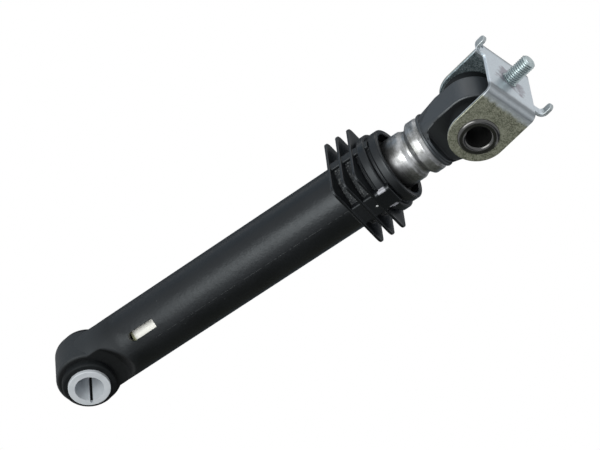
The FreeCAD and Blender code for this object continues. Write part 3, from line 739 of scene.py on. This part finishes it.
def onSkin(angle, radius, height):
    turn = math.radians(angle)
    return (radius * math.cos(turn), radius * math.sin(turn), height)


seamNodes = seamTree("partingSeamTree")
for index, angle in enumerate(partingSeam["angles"]):
    seam = grown(f"partingSeam{index}", seamNodes, {
        **partingSeam, "Finish": seamFinish,
        "Start": onSkin(angle, partingSeam["radiusLow"], partingSeam["low"]),
        "End": onSkin(angle, partingSeam["radiusHigh"], partingSeam["high"])})
    finished(seam, "barrel", "black_plastic")
    print("seam", index, len(seam.data.polygons))


# stage: floor, world, lamps, camera

stageSizes = {
    "floorDrop": 0.95,        # below the eye's centre
    "floorSide": 6.0,
    "floorShade": (0.82, 0.82, 0.82),
    "floorRough": 0.9,
    "skyLight": 0.28,
    "middle": (0.0, 0.0, 0.13),
}


def seenByEye(tree):
    path = addNode(tree, "ShaderNodeLightPath")
    straight = math2(tree, "MAXIMUM", path.outputs["Is Camera Ray"], path.outputs["Is Glossy Ray"])
    return math2(tree, "MAXIMUM", straight, path.outputs["Is Transmission Ray"])


def makeFloor():
    half = stageSizes["floorSide"] / 2
    low = -stageSizes["floorDrop"]
    mesh = bpy.data.meshes.new("floor")
    mesh.from_pydata([(-half, -half, low), (half, -half, low), (half, half, low), (-half, half, low)], [],
                     [(0, 1, 2, 3)])
    floor = linked("floor", mesh)
    material, tree, shader = newMaterial("floorPale")
    shader.inputs["Base Color"].default_value = (*stageSizes["floorShade"], 1)
    shader.inputs["Roughness"].default_value = stageSizes["floorRough"]
    glow = addNode(tree, "ShaderNodeEmission", {"Color": (1, 1, 1, 1), "Strength": 1.0})
    both = addNode(tree, "ShaderNodeMixShader", {0: seenByEye(tree), 1: shader.outputs[0], 2: glow.outputs[0]})
    tree.links.new(both.outputs[0], tree.nodes["Material Output"].inputs["Surface"])
    mesh.materials.append(material)


def makeWorld():
    world = bpy.data.worlds.new("studio")
    world.use_nodes = True
    tree = world.node_tree
    background = tree.nodes["Background"]
    background.inputs["Color"].default_value = (1, 1, 1, 1)
    strength = fade(tree, seenByEye(tree), 0.0, 1.0, stageSizes["skyLight"])
    tree.links.new(strength, background.inputs["Strength"])
    bpy.context.scene.world = world


cameraView = {
    "place": (-1.028882, -1.582647, 0.763553),
    "turn": (58.9059, -52.3951, -7.4486),
    "lens": 240.0,
    "sensor": 36.0,
    "farClip": 50,
}

lamps = {
    # direction from the object's middle, then distance, size and watts
    "sideSoftbox": {"way": (-0.72, -0.67, -0.09), "distance": 1.2, "size": (0.8, 0.95), "watts": 14.2,
                    "colour": (1.0, 0.99, 0.955)},
    "backSoftbox": {"way": (-0.60, 0.78, 0.12), "distance": 1.0, "size": (0.6, 0.4), "watts": 0.6},
    "topSoftbox": {"way": (-0.45, 0.1, 0.9), "distance": 1.0, "size": (0.7, 0.7), "watts": 1.4},
}


def makeLamp(name, lamp):
    data = bpy.data.lights.new(name, "AREA")
    data.shape = "RECTANGLE"
    data.size, data.size_y = lamp["size"]
    data.energy = lamp["watts"]
    data.color = lamp.get("colour", (1, 1, 1))
    made = linked(name, data)
    way = Vector(lamp["way"]).normalized()
    made.location = Vector(stageSizes["middle"]) + way * lamp["distance"]
    made.rotation_euler = way.to_track_quat("Z", "Y").to_euler()
    made.visible_camera = False


flags = {
    # upright cards that only reflections see: direction on the floor, distance, width, low and high edge
    "sideFlag": {"way": (0.836, -0.541), "distance": 0.36, "width": 0.85, "low": -0.45, "high": 0.21,
                 "shade": (0.12, 0.125, 0.10)},
    "upperFlag": {"way": (0.836, -0.541), "distance": 0.36, "width": 0.85, "low": 0.27, "high": 0.43,
                  "shade": (0.12, 0.13, 0.14)},
    "leftFlag": {"way": (-0.731, 0.682), "distance": 0.45, "width": 0.275, "low": -0.5, "high": 0.25,
                 "shade": (0.50, 0.60, 0.70)},
    "finFlag": {"way": (0.545, 0.839), "distance": 0.45, "width": 1.0, "low": 0.20, "high": 0.41,
                "shade": (0.09, 0.11, 0.13)},
    "backFlag": {"way": (0.669, 0.743), "distance": 0.45, "width": 1.62, "low": -0.5, "high": 0.15,
                 "shade": (0.11, 0.135, 0.16)},
}


def makeFlag(name, flag):
    way = Vector((*flag["way"], 0)).normalized()
    across = Vector((-way.y, way.x, 0)) * flag["width"] / 2
    foot = way * flag["distance"]
    low, high = Vector((0, 0, flag["low"])), Vector((0, 0, flag["high"]))
    corners = [foot - across + low, foot + across + low, foot + across + high, foot - across + high]
    mesh = bpy.data.meshes.new(name)
    mesh.from_pydata(corners, [], [(0, 1, 2, 3)])
    card = linked(name, mesh)
    material, tree, _ = newMaterial(name + "Card")
    glow = addNode(tree, "ShaderNodeEmission", {"Color": (*flag["shade"], 1), "Strength": 1.0})
    tree.links.new(glow.outputs[0], tree.nodes["Material Output"].inputs["Surface"])
    mesh.materials.append(material)
    card.visible_camera = False
    card.visible_diffuse = False
    card.visible_shadow = False
    card.visible_transmission = False


def makeCamera():
    data = bpy.data.cameras.new("photoCamera")
    data.lens = cameraView["lens"]
    data.sensor_width = cameraView["sensor"]
    data.clip_end = cameraView["farClip"]
    made = linked("photoCamera", data)
    made.location = cameraView["place"]
    made.rotation_euler = Euler([math.radians(angle) for angle in cameraView["turn"]])
    bpy.context.scene.camera = made


makeFloor()
makeWorld()
for lampName, lamp in lamps.items():
    makeLamp(lampName, lamp)
for flagName, flag in flags.items():
    makeFlag(flagName, flag)
makeCamera()
bpy.context.scene.view_settings.view_transform = "Standard"
print("stage set")
